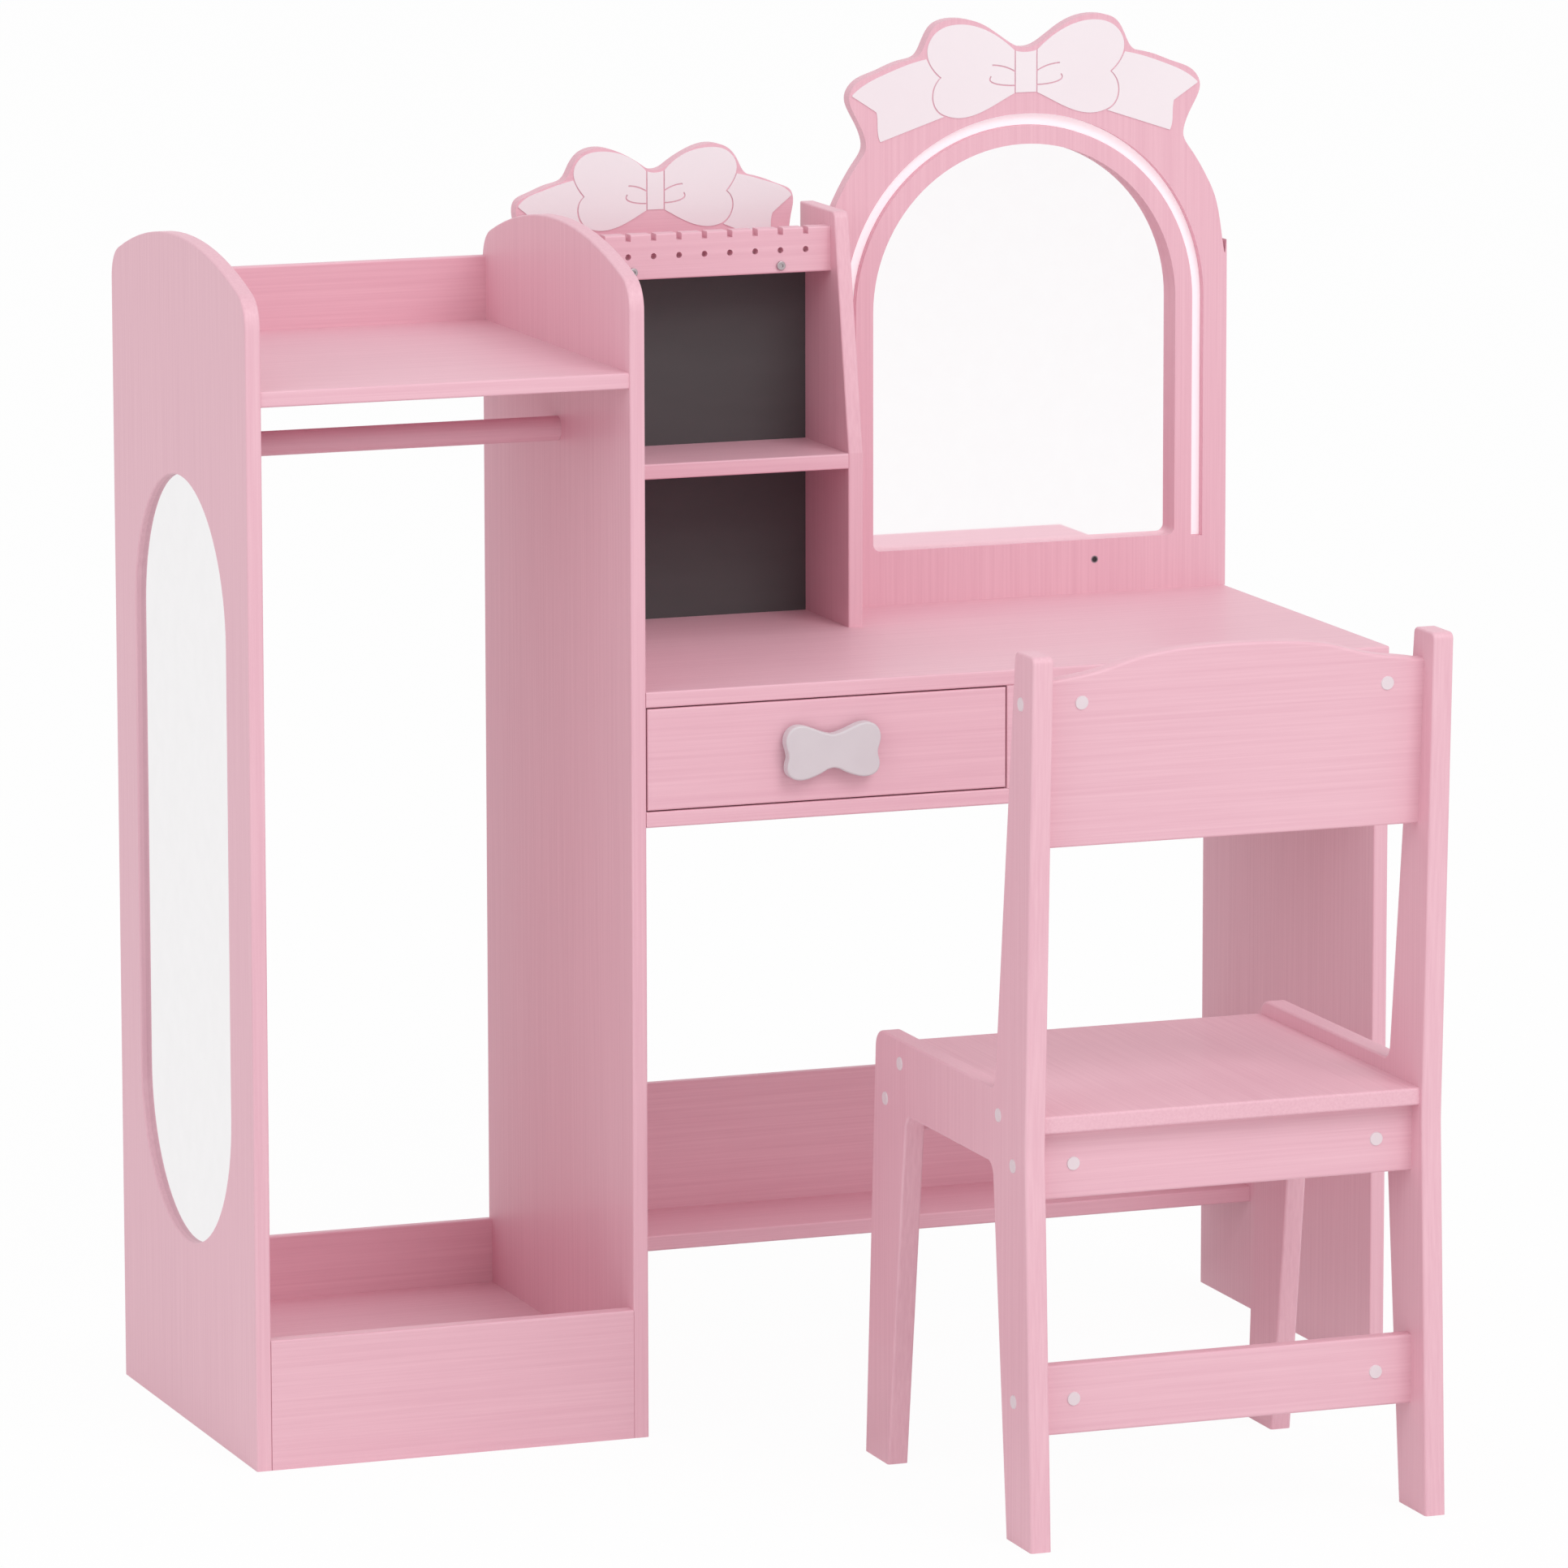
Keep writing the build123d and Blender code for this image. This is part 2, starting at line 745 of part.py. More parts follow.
def mirrored_outline(points, foot_z):
    """A board outline from its right half: a smooth curve from the top middle to a straight foot."""
    half_width = points[-1][0]
    with BuildSketch() as outline:
        with BuildLine():
            Spline(*points, tangents=[(1, 0), (0, -1)])
            Line(points[-1], (half_width, foot_z))
            Line((half_width, foot_z), (-half_width, foot_z))
            Line((-half_width, foot_z), (-half_width, points[-1][1]))
            Spline(*[(-x, z) for x, z in points], tangents=[(-1, 0), (0, -1)])
        make_face()
    return outline.sketch


# Right half of the mirror board's crest, measured from its middle and from the floor
mirror_crest = [
    (0, 1009.6),
    (14, 1014.2),
    (35, 1028.2),
    (59, 1034.0),
    (76, 1029.4),
    (85, 1015.0),
    (91, 1005.6),
    (103, 1002.2),
    (124, 994.6),
    (143, 985.8),
    (148.4, 976.0),
    (143.4, 960.5),
    (135.8, 944.5),
    (134.6, 935.0),
    (141.0, 923.5),
    (155.4, 900.0),
    (mirror_half - 8.5, 878.0),
    (mirror_half - 1.6, 840.0),
    (mirror_half, 800.0),
]

# The white bow on the mirror board, right half, measured from its knot's middle
mirror_bow_size = {
    "knot": (8.65, 1006.0, 974.3),
    "lobe": [
        (9.7, 1007.6),
        (27.0, 1020.8),
        (57.0, 1029.6),
        (75.0, 1024.3),
        (83.2, 1010.0),
        (82.4, 1003.3),
        (76.0, 992.6),
        (71.3, 988.3),
    ],
    "lower_lobe": [
        (71.3, 988.3),
        (77.4, 979.0),
        (77.4, 968.0),
        (68.0, 958.4),
    ],
    "belly": [
        (68.0, 958.4),
        (54.0, 956.0),
        (36.0, 960.6),
        (9.7, 973.8),
    ],
    "tail_top": [(84.0, 1003.3), (97.0, 1000.3), (117.0, 993.4), (137.0, 984.3), (146.0, 977.3)],
    "tail_end": [(146.0, 976.3), (126.0, 963.3), (125.0, 955.0), (124.6, 946.0), (122.6, 939.7)],
    "tail_above_notch": [(72.7, 988.1), (76.7, 991.7), (80.7, 997.0), (84.0, 1003.3)],
    "tail_below_notch": [(72.7, 988.1), (78.5, 979.3), (78.5, 967.6), (69.0, 957.5)],
    "crease": [(8.0, 990.0), (13.5, 993.2), (20.0, 995.4), (28.6, 996.6)],
    "hook": [(8.0, 980.8), (27.0, 982.2), (30.6, 985.2), (29.4, 987.8)],
}

# The white bow on the tower's board
tower_bow_size = {
    "knot": (6.6, 923.6, 894.9),
    "lobe": [
        (7.7, 925.2),
        (22.9, 936.9),
        (44.5, 941.8),
        (59.9, 938.2),
        (67.2, 926.6),
        (66.4, 920.4),
        (61.6, 911.4),
        (58.2, 907.1),
    ],
    "lower_lobe": [
        (58.2, 907.1),
        (63.2, 899.0),
        (62.2, 890.5),
        (54.9, 882.2),
    ],
    "belly": [
        (54.9, 882.2),
        (42.9, 880.0),
        (28.0, 883.6),
        (7.7, 894.4),
    ],
    "tail_top": [(67.5, 920.2), (77.0, 918.0), (93.0, 913.0), (106.0, 908.0), (112.6, 902.2)],
    "tail_end": [(112.6, 901.2), (97.0, 888.4), (95.6, 882.0), (95.4, 874.0), (93.8, 866.0)],
    "tail_above_notch": [(59.5, 907.0), (62.5, 910.8), (65.1, 915.1), (67.5, 920.2)],
    "tail_below_notch": [(59.5, 907.0), (64.3, 899.2), (63.3, 890.1), (56.0, 881.2)],
    "crease": [(6.0, 908.6), (11.0, 911.4), (16.0, 913.2), (22.4, 914.0)],
    "hook": [(6.0, 900.7), (21.0, 901.8), (24.2, 904.6), (23.2, 907.2)],
}


def lobe(size):
    """A bow's right lobe, with its notch where the tail tucks in and its two creases cut out."""
    with BuildSketch() as outline:
        with BuildLine():
            Spline(*size["lobe"])
            Spline(*size["lower_lobe"])
            Spline(*size["belly"])
            Line(size["belly"][-1], size["lobe"][0])
        make_face()
        for mark in (size["crease"], size["hook"]):
            with BuildLine(mode=Mode.PRIVATE) as crease:
                Spline(*mark)
            trace(crease.line, line_width=bow_line, mode=Mode.SUBTRACT)
    return outline.sketch


def tail(size):
    """The ribbon's right tail, one line's width away from the lobe."""
    with BuildSketch() as outline:
        with BuildLine():
            Spline(*size["tail_top"])
            Polyline(size["tail_top"][-1], *size["tail_end"][:2])
            Spline(*size["tail_end"][1:])
            Line(size["tail_end"][-1], size["tail_below_notch"][-1])
            Spline(*size["tail_below_notch"])
            Spline(*size["tail_above_notch"])
        make_face()
    return outline.sketch


def knot(size):
    """The band round a bow's middle, its top edge dipping a little."""
    knot_half, knot_top, knot_bottom = size["knot"]
    ear = knot_top + 1.2
    with BuildSketch() as outline:
        with BuildLine():
            ThreePointArc((-knot_half, ear), (0, knot_top), (knot_half, ear))
            Polyline(
                (knot_half, ear), (knot_half, knot_bottom), (-knot_half, knot_bottom), (-knot_half, ear)
            )
        make_face()
    return outline.sketch


def front_plane(x, y, side=1):
    """Upright plane with its origin on the floor and its first axis to the right, or left for -1."""
    return Plane(origin=(x, y, 0), x_dir=(side, 0, 0), z_dir=(0, -side, 0))


# Right half of the tower board's crest
tower_crest = [
    (0, 925.6),
    (12, 930.6),
    (27, 939.4),
    (46, 944.6),
    (59.6, 941.0),
    (68.6, 930.0),
    (74.4, 920.6),
    (85, 917.0),
    (103, 910.3),
    (112.6, 904.8),
    (114.3, 899.6),
    (112.4, 885.5),
    (110.4, 868.0),
    (110.0, 858.0),
]

with BuildPart() as tower_crest_board:
    with BuildSketch(front_plane(tower_x, mirror_y)):
        add(mirrored_outline(tower_crest, rack_bottom))
    extrude(amount=-board)
    drill_pegs(crest_pegs)

with BuildPart() as tower_bow:
    with BuildSketch(front_plane(tower_x, mirror_y)):
        add(knot(tower_bow_size))
    extrude(amount=bow_thickness)
    for side in (-1, 1):
        for outline in (lobe(tower_bow_size), tail(tower_bow_size)):
            with BuildSketch(front_plane(tower_x, mirror_y, side)):
                add(outline)
            extrude(amount=side * bow_thickness)


def arch(radius, foot_z, corner=0.0):
    """An upright arch about the mirror's centre, down to a straight foot."""
    with BuildSketch() as outline:
        with Locations((0, opening_spring)):
            Circle(radius)
        with Locations((0, foot_z)):
            Rectangle(2 * radius, opening_spring - foot_z, align=(Align.CENTER, Align.MIN))
        if corner:
            fillet(outline.vertices().group_by(Axis.Y)[0], corner)
    return outline.sketch


def strip_band(clearance):
    """The light strip's band round the mirror, narrowed by a clearance."""
    with BuildSketch() as band:
        add(arch(strip_radius + strip_width / 2 - clearance, strip_foot + clearance))
        add(arch(strip_radius - strip_width / 2 + clearance, strip_foot - 1), mode=Mode.SUBTRACT)
    return band.sketch


groove_depth = strip_depth + strip_thickness
switch_x = mirror_x + switch_offset
switch_at = facing([(switch_x, mirror_y, switch_height)], (0, -1, 0))
controller_z = switch_height + controller_drop - controller_height
lead_z = controller_z + lead_drop
channel_width = board - groove_depth
lead_y = mirror_back_y - (board - groove_depth) / 2
screw_ring = opening_radius + (backing_margin + sheet_margin) / 2
side_screws_z = [opening_bottom + 20.0, (opening_bottom + opening_spring) / 2, opening_spring]
backing_screw_places = [(side * screw_ring, z) for side in (-1, 1) for z in side_screws_z]
backing_screw_places += [
    (screw_ring * math.cos(math.radians(a)), opening_spring + screw_ring * math.sin(math.radians(a)))
    for a in (36, 72, 108, 144)
]
backing_screws_at = facing(
    [(mirror_x + x, mirror_back_y + screw_seat, z) for x, z in backing_screw_places], (0, 1, 0)
)


def lead_path(bend):
    """The lead's line: along below the mirror, then up behind the foot of the strip."""
    start = (switch_x + controller_length / 2, lead_z)
    corner = (mirror_x + strip_radius, lead_z)
    end = (mirror_x + strip_radius, strip_foot + lead_rise)
    with BuildLine(Plane(origin=(0, lead_y, 0), x_dir=(1, 0, 0), z_dir=(0, -1, 0))) as path:
        FilletPolyline(start, corner, end, radius=bend)
    return path.line


with BuildPart() as mirror_board:
    with BuildSketch(front_plane(mirror_x, mirror_y)):
        add(mirrored_outline(mirror_crest, desk_height))
        add(arch(opening_radius, opening_bottom, opening_corner), mode=Mode.SUBTRACT)
    extrude(amount=-board)
    with BuildSketch(front_plane(mirror_x, mirror_y)):
        add(strip_band(0))
    extrude(amount=-groove_depth, mode=Mode.SUBTRACT)
    rounds(switch_at, switch_radius + slip, -board, 0, Mode.SUBTRACT)
    block(
        switch_x - controller_length / 2 - slip,
        mirror_back_y - controller_thickness - slip,
        controller_z - slip,
        controller_length + 2 * slip,
        controller_thickness + slip,
        controller_height + 2 * slip,
        Mode.SUBTRACT,
    )
    block(
        switch_x + controller_length / 2,
        mirror_back_y - channel_width,
        lead_z - channel_width / 2,
        mirror_x + strip_radius + channel_width / 2 - switch_x - controller_length / 2,
        channel_width,
        lead_bend + channel_width / 2,
        Mode.SUBTRACT,
    )
    block(
        mirror_x + strip_radius - channel_width / 2,
        mirror_back_y - channel_width,
        lead_z,
        channel_width,
        channel_width,
        strip_foot + lead_rise + slip - lead_z,
        Mode.SUBTRACT,
    )
    rounds(backing_screws_at, mirror_screw_radius + slip, -mirror_screw_length - slip, 0, Mode.SUBTRACT)
    drill_pegs(mirror_side_pegs + mirror_foot_pegs)

with BuildPart() as mirror_bow:
    with BuildSketch(front_plane(mirror_x, mirror_y)):
        add(knot(mirror_bow_size))
    extrude(amount=bow_thickness)
    for side in (-1, 1):
        for outline in (lobe(mirror_bow_size), tail(mirror_bow_size)):
            with BuildSketch(front_plane(mirror_x, mirror_y, side)):
                add(outline)
            extrude(amount=side * bow_thickness)

with BuildPart() as vanity_mirror:
    with BuildSketch(front_plane(mirror_x, mirror_back_y)):
        add(arch(opening_radius + sheet_margin, opening_bottom - sheet_margin, opening_corner))
    extrude(amount=-mirror_sheet)

with BuildPart() as mirror_backing:
    with BuildSketch(front_plane(mirror_x, mirror_back_y)):
        add(arch(opening_radius + backing_margin, opening_bottom - backing_margin, opening_corner))
    extrude(amount=-backing_thickness)
    with BuildSketch(front_plane(mirror_x, mirror_back_y)):
        recess = sheet_margin + slip
        add(arch(opening_radius + recess, opening_bottom - recess, opening_corner))
    extrude(amount=-mirror_sheet, mode=Mode.SUBTRACT)
    rounds(backing_screws_at, mirror_screw_radius + slip, -screw_seat, 0, Mode.SUBTRACT)
    rounds(
        backing_screws_at, mirror_screw_head + slip, 0, backing_thickness - screw_seat, Mode.SUBTRACT
    )

with BuildPart() as mirror_screws:
    rounds(clip_screws_at + backing_screws_at, mirror_screw_radius, -mirror_screw_length, 0)
    rounds(clip_screws_at + backing_screws_at, mirror_screw_head, 0, mirror_screw_head_height)

with BuildPart() as light_strip:
    with BuildSketch(front_plane(mirror_x, mirror_y + strip_depth)):
        add(strip_band(slip))
    extrude(amount=-strip_thickness)

with BuildPart() as light_switch:
    rounds(switch_at, switch_radius, controller_thickness + slip - board, 0)
    rounds(switch_at, switch_window_radius, -switch_window_inset, 0, Mode.SUBTRACT)

with BuildPart() as light_controller:
    block(
        switch_x - controller_length / 2,
        mirror_back_y - controller_thickness,
        controller_z,
        controller_length,
        controller_thickness,
        controller_height,
    )
    fillet(light_controller.edges().filter_by(Axis.Y), edge_round)
    with BuildSketch(
        Plane(origin=(switch_x, mirror_back_y, lead_z), x_dir=(1, 0, 0), z_dir=(0, 1, 0))
    ):
        SlotOverall(socket_width, socket_height)
    extrude(amount=-socket_depth, mode=Mode.SUBTRACT)

with BuildPart() as light_lead:
    with BuildSketch(Plane(origin=(switch_x + controller_length / 2, lead_y, lead_z), z_dir=(1, 0, 0))):
        Circle(lead_radius)
    sweep(path=lead_path(lead_bend))

# Drawer
front_left = middle_right + front_gap
front_width = drawer_bay - 2 * front_gap
front_bottom = drawer_floor + front_gap
front_height = drawer_bay_height - 2 * front_gap
box_left = middle_right + runner_space
box_right = divider_left - runner_space
box_front = y_front + board
box_back = box_front + drawer_depth
box_bottom = drawer_floor + drawer_lift
box_x = (box_left + box_right) / 2
tray_z = box_bottom + drawer_bottom_lift
knob_z = front_bottom + front_height / 2


def drill_drawer_pegs(planes, start, end):
    """Blind peg holes between two heights along the pegs, with a clearance."""
    rounds(planes, drawer_peg_radius + slip, start, end, Mode.SUBTRACT)


def tray_groove(clearance):
    """The space of the drawer's bottom sheet, grown by a clearance."""
    block(
        box_left + drawer_side - drawer_groove - clearance,
        box_front - drawer_groove - clearance,
        tray_z - clearance,
        box_right - box_left - 2 * (drawer_side - drawer_groove) + 2 * clearance,
        drawer_depth - drawer_side + 2 * drawer_groove + 2 * clearance,
        drawer_bottom_thickness + 2 * clearance,
        Mode.SUBTRACT if clearance else Mode.ADD,
    )


drawer_peg_heights = [box_bottom + 15.0, box_bottom + drawer_height - 12.0]
box_back_middle = box_back - drawer_side / 2
peg_hole = drawer_peg_depth + slip
drawer_front_pegs = facing(
    [
        (x, box_front, z)
        for x in (box_left + drawer_side / 2, box_right - drawer_side / 2)
        for z in drawer_peg_heights
    ],
    (0, 1, 0),
)
drawer_back_pegs = joint_planes(
    [(box_left + drawer_side, 1), (box_right - drawer_side, -1)],
    [(box_back_middle, z) for z in drawer_peg_heights],
)
knob_screws_at = facing(
    [(box_x + side * knob_post_spacing / 2, y_front, knob_z) for side in (-1, 1)], (0, -1, 0)
)
drawer_runner_screws_at = joint_planes([(box_left, -1), (box_right, 1)], runner_screw_places)

with BuildPart() as drawer_front:
    block(front_left, y_front, front_bottom, front_width, board, front_height)
    fillet(drawer_front.faces().sort_by(Axis.Y)[0].edges(), edge_round)
    tray_groove(slip)
    drill_drawer_pegs(drawer_front_pegs, -peg_hole, 0)
    rounds(knob_screws_at, knob_screw_radius + slip, -board, 0, Mode.SUBTRACT)

with BuildPart() as drawer_left_side:
    block(box_left, box_front, box_bottom, drawer_side, drawer_depth, drawer_height)
    fillet(drawer_left_side.edges().filter_by(Axis.Y).group_by(Axis.Z)[-1], edge_round)
    tray_groove(slip)
    drill_drawer_pegs(drawer_front_pegs[:2], 0, peg_hole)
    drill_drawer_pegs(drawer_back_pegs[:2], -peg_hole, 0)
    drill_runner_screws(drawer_runner_screws_at[:3])

with BuildPart() as drawer_right_side:
    block(box_right - drawer_side, box_front, box_bottom, drawer_side, drawer_depth, drawer_height)
    fillet(drawer_right_side.edges().filter_by(Axis.Y).group_by(Axis.Z)[-1], edge_round)
    tray_groove(slip)
    drill_drawer_pegs(drawer_front_pegs[2:], 0, peg_hole)
    drill_drawer_pegs(drawer_back_pegs[2:], -peg_hole, 0)
    drill_runner_screws(drawer_runner_screws_at[3:])

with BuildPart() as drawer_back:
    block(
        box_left + drawer_side,
        box_back - drawer_side,
        box_bottom,
        box_right - box_left - 2 * drawer_side,
        drawer_side,
        drawer_height,
    )
    fillet(drawer_back.edges().filter_by(Axis.X).group_by(Axis.Z)[-1], edge_round)
    tray_groove(slip)
    drill_drawer_pegs(drawer_back_pegs, 0, peg_hole)

with BuildPart() as drawer_bottom:
    tray_groove(0)

with BuildPart() as drawer_pegs:
    rounds(drawer_front_pegs + drawer_back_pegs, drawer_peg_radius, -drawer_peg_depth, drawer_peg_depth)

# Right half of the knob's outline, from its top middle to its bottom middle
knob_outline = [
    (0, 13.0),
    (9, 15.4),
    (18, 19.0),
    (27, 20.9),
    (34, 18.4),
    (38.2, 9.5),
    (36.6, 1.5),
    (35.8, -2.5),
    (37.2, -9.5),
    (35.4, -17.0),
    (28, -20.6),
    (18, -19.4),
    (8, -15.4),
    (0, -12.6),
]
knob_face_y = y_front - knob_standoff - knob_thickness

with BuildPart() as drawer_knob:
    with BuildSketch(Plane(origin=(box_x, knob_face_y, knob_z), x_dir=(1, 0, 0), z_dir=(0, -1, 0))):
        with BuildLine():
            Spline(*knob_outline, tangents=[(1, 0.15), (-1, 0.15)])
            Spline(*[(-x, z) for x, z in knob_outline], tangents=[(-1, 0.15), (1, 0.15)])
        make_face()
    extrude(amount=-knob_thickness)
    fillet(drawer_knob.faces().sort_by(Axis.Y)[0].edges(), knob_round)
    rounds(knob_screws_at, knob_post_radius, 0, knob_standoff)
    rounds(knob_screws_at, knob_screw_radius + slip, 0, knob_standoff + knob_screw_reach, Mode.SUBTRACT)

with BuildPart() as knob_screws:
    rounds(knob_screws_at, knob_screw_radius, -board, knob_standoff + knob_screw_reach - slip)
    rounds(knob_screws_at, knob_screw_head, -board - knob_screw_head_height, -board)


def runner(x, side, height):
    """A channel lying along the drawer: its web at x and its open side facing along side."""
    lip = x + side * runner_flange
    floor = x + side * runner_steel
    block(min(x, lip), runner_y, runner_z - height / 2, runner_flange, runner_length, height)
    block(
        min(floor, lip),
        runner_y,
        runner_z - height / 2 + runner_steel,
        runner_flange - runner_steel,
        runner_length,
        height - 2 * runner_steel,
        Mode.SUBTRACT,
    )


inner_runner_height = runner_height - 2 * (runner_steel + runner_play)

with BuildPart() as fixed_runners:
    runner(middle_right, 1, runner_height)
    runner(divider_left, -1, runner_height)
    rounds(runner_screws_at, runner_screw_radius + slip, 0, runner_steel, Mode.SUBTRACT)

with BuildPart() as moving_runners:
    runner(box_left, -1, inner_runner_height)
    runner(box_right, 1, inner_runner_height)
    rounds(drawer_runner_screws_at, runner_screw_radius + slip, 0, runner_steel, Mode.SUBTRACT)


def pan_screws(planes):
    """Small screws through the runners' steel, their heads inside the channels."""
    rounds(planes, runner_screw_radius, -runner_screw_reach, runner_steel)
    rounds(planes, runner_screw_head, runner_steel, runner_steel + runner_screw_head_height)


with BuildPart() as fixed_runner_screws:
    pan_screws(runner_screws_at)

with BuildPart() as moving_runner_screws:
    pan_screws(drawer_runner_screws_at)

# Pegs and cam fittings of the table
with BuildPart() as wooden_pegs:
    rounds(all_pegs, peg_radius, -peg_in_panel, peg_in_board)

with BuildPart() as cam_bolts:
    rounds(all_cams, cam_bolt_thread_radius, -cam_bolt_thread, 0)
    rounds(all_cams, cam_bolt_radius, 0, cam_reach - cam_bolt_head_length)
    rounds(all_cams, cam_bolt_head, cam_reach - cam_bolt_head_length, cam_reach)

with BuildPart() as cam_discs:
    cam_centres = [plane.offset(cam_reach).origin for plane in all_cams]
    cam_bottoms = facing([(c.X, c.Y, c.Z - board / 2) for c in cam_centres], (0, 0, 1))
    rounds(cam_bottoms, cam_radius, 0, cam_height)
    rounds(all_cams, cam_bolt_head + slip, cam_reach - 2 * cam_radius, cam_reach + slip, Mode.SUBTRACT)
    for turn in (0, 90):
        with Locations(*cam_bottoms):
            Box(
                1.2 * cam_radius,
                cam_slot_width,
                2 * cam_slot_depth,
                rotation=(0, 0, turn),
                mode=Mode.SUBTRACT,
            )

# Chair
waist = chair_depth - chair_waist_inset


def chair_side_outline():
    """The chair's side board: two splayed legs, an arm rail and a raked back post."""
    post_front = chair_depth - chair_post_top_width
    with BuildSketch() as outline:
        with BuildLine():
            Polyline(
                (0, 0),
                (-chair_arm_front, chair_arm_height),
                (-chair_post_front, chair_arm_height),
                (-post_front, chair_post_height),
                (-chair_depth, chair_post_height),
                (-waist, chair_waist_height),
                (-chair_depth, 0),
                (rear_foot_width - chair_depth, 0),
                (-rear_leg_top_front, chair_rail_height),
                (-front_leg_top_back, chair_rail_height),
                (-front_foot_width, 0),
                close=True,
            )
        make_face()
        corners = outline.vertices()
        tops = corners.group_by(Axis.Y)[-1]
        fillet(tops, post_round)
        arm_corners = outline.vertices().filter_by(lambda v: abs(v.Y - chair_arm_height) < 0.01)
        fillet(arm_corners.sort_by(Axis.X)[-1], arm_front_round)
        arm_corners = outline.vertices().filter_by(
            lambda v: abs(v.Y - chair_arm_height) < 0.01 and abs(v.X + chair_post_front) < 0.01
        )
        fillet(arm_corners, inner_round)
        fillet(outline.vertices().filter_by(lambda v: abs(v.Y - chair_rail_height) < 0.01), under_round)
        fillet(outline.vertices().filter_by(lambda v: abs(v.Y - chair_waist_height) < 0.01), waist_round)
    return outline.sketch


def chair_plane(x):
    """Upright plane at x, its first axis along Y and its origin at the front foot."""
    return Plane(origin=(x, chair_y, 0), x_dir=(0, 1, 0), z_dir=(1, 0, 0))


rail_underside = seat_top - seat_board - seat_rail_height
lean = math.radians(back_slab_lean)
slab_rear_y = chair_y - chair_depth + back_slab_inset
slab_plane = Plane(
    origin=(chair_x, slab_rear_y, back_slab_bottom),
    x_dir=(1, 0, 0),
    z_dir=(0, -math.cos(lean), -math.sin(lean)),
)
rear_rail_y = chair_y - chair_depth + rear_rail_inset
front_rail_y = chair_y - front_rail_inset - rail_board
lower_rail_y = chair_y - chair_depth + lower_rail_inset
seat_mid_z = seat_top - seat_board / 2
rail_mid_z = rail_underside + seat_rail_height / 2
lower_rail_mid_z = lower_rail_bottom + lower_rail_height / 2
seat_bolt_places = [chair_y - seat_front_bolt, chair_y - seat_rear_bolt]
rear_outward = (0, -1, 0)
slab_middle = slab_plane.offset(-rail_board / 2).from_local_coords((0, back_slab_bolt_rise, 0))

# Each chair joint as its place across the side board, the way its nut's bore opens, and how
# deep that bore's axis lies behind the face it opens on
chair_joints = [(y, seat_mid_z, (0, 0, -1), seat_board) for y in seat_bolt_places]
chair_joints += [
    (rear_rail_y + rail_board / 2, rail_mid_z, rear_outward, rail_board),
    (front_rail_y + rail_board / 2, rail_mid_z, rear_outward, rail_board),
    (lower_rail_y + rail_board / 2, lower_rail_mid_z, rear_outward, rail_board),
    (slab_middle.Y, slab_middle.Z, tuple(slab_plane.z_dir), rail_board),
]
joints_per_side = len(chair_joints)
chair_bolts_at = joint_planes(
    [(chair_left_inner, 1), (chair_right_inner, -1)], [(y, z) for y, z, way, depth in chair_joints]
)
nuts_at = []
nut_mouths = []
for x, side in [(chair_left_inner, 1), (chair_right_inner, -1)]:
    for y, z, way, depth in chair_joints:
        nut = Plane(origin=(x + side * nut_inset, y, z), z_dir=way)
        nuts_at.append(nut)
        nut_mouths.append(nut.offset(depth / 2))


def drill_chair_end(place, depth):
    """The bolt holes in the two ends of a rail or the seat, and the bores of their barrel nuts."""
    planes = [chair_bolts_at[place], chair_bolts_at[place + joints_per_side]]
    nuts = [nuts_at[place], nuts_at[place + joints_per_side]]
    rounds(planes, chair_bolt_radius + slip, 0, chair_bolt_reach + slip, Mode.SUBTRACT)
    rounds(nuts, nut_radius + slip, -nut_length / 2 - nut_bore_extra, depth / 2, Mode.SUBTRACT)


def drill_chair_side(planes):
    """Bolt holes through a side board, each with a recess for the head on the outer face."""
    rounds(planes, chair_bolt_radius + slip, -chair_side_board, 0, Mode.SUBTRACT)
    rounds(
        planes,
        nut_radius + slip,
        -chair_side_board,
        chair_bolt_recess - chair_side_board,
        Mode.SUBTRACT,
    )


with BuildPart() as chair_left_side:
    with BuildSketch(chair_plane(chair_left)):
        add(chair_side_outline())
    extrude(amount=chair_side_board)
    rims = chair_left_side.faces().filter_by(Axis.X).edges().filter_by_position(Axis.Z, 1, 1000)
    fillet(rims, chair_edge_round)
    drill_chair_side(chair_bolts_at[:joints_per_side])

with BuildPart() as chair_right_side:
    with BuildSketch(chair_plane(chair_right_inner)):
        add(chair_side_outline())
    extrude(amount=chair_side_board)
    rims = chair_right_side.faces().filter_by(Axis.X).edges().filter_by_position(Axis.Z, 1, 1000)
    fillet(rims, chair_edge_round)
    drill_chair_side(chair_bolts_at[joints_per_side:])

with BuildPart() as chair_seat:
    block(
        chair_left_inner,
        chair_y - chair_depth + seat_back_inset,
        seat_top - seat_board,
        chair_inside,
        chair_depth - seat_back_inset - seat_front_inset,
        seat_board,
    )
    fillet(chair_seat.edges().filter_by(Axis.X), chair_edge_round)
    drill_chair_end(0, seat_board)
    drill_chair_end(1, seat_board)

with BuildPart() as chair_rear_rail:
    block(chair_left_inner, rear_rail_y, rail_underside, chair_inside, rail_board, seat_rail_height)
    fillet(chair_rear_rail.edges().filter_by(Axis.X).group_by(Axis.Z)[0], chair_edge_round)
    drill_chair_end(2, rail_board)

with BuildPart() as chair_front_rail:
    block(chair_left_inner, front_rail_y, rail_underside, chair_inside, rail_board, seat_rail_height)
    fillet(chair_front_rail.edges().filter_by(Axis.X).group_by(Axis.Z)[0], chair_edge_round)
    drill_chair_end(3, rail_board)

with BuildPart() as chair_lower_rail:
    block(chair_left_inner, lower_rail_y, lower_rail_bottom, chair_inside, rail_board, lower_rail_height)
    fillet(chair_lower_rail.edges().filter_by(Axis.X), chair_edge_round)
    drill_chair_end(4, rail_board)

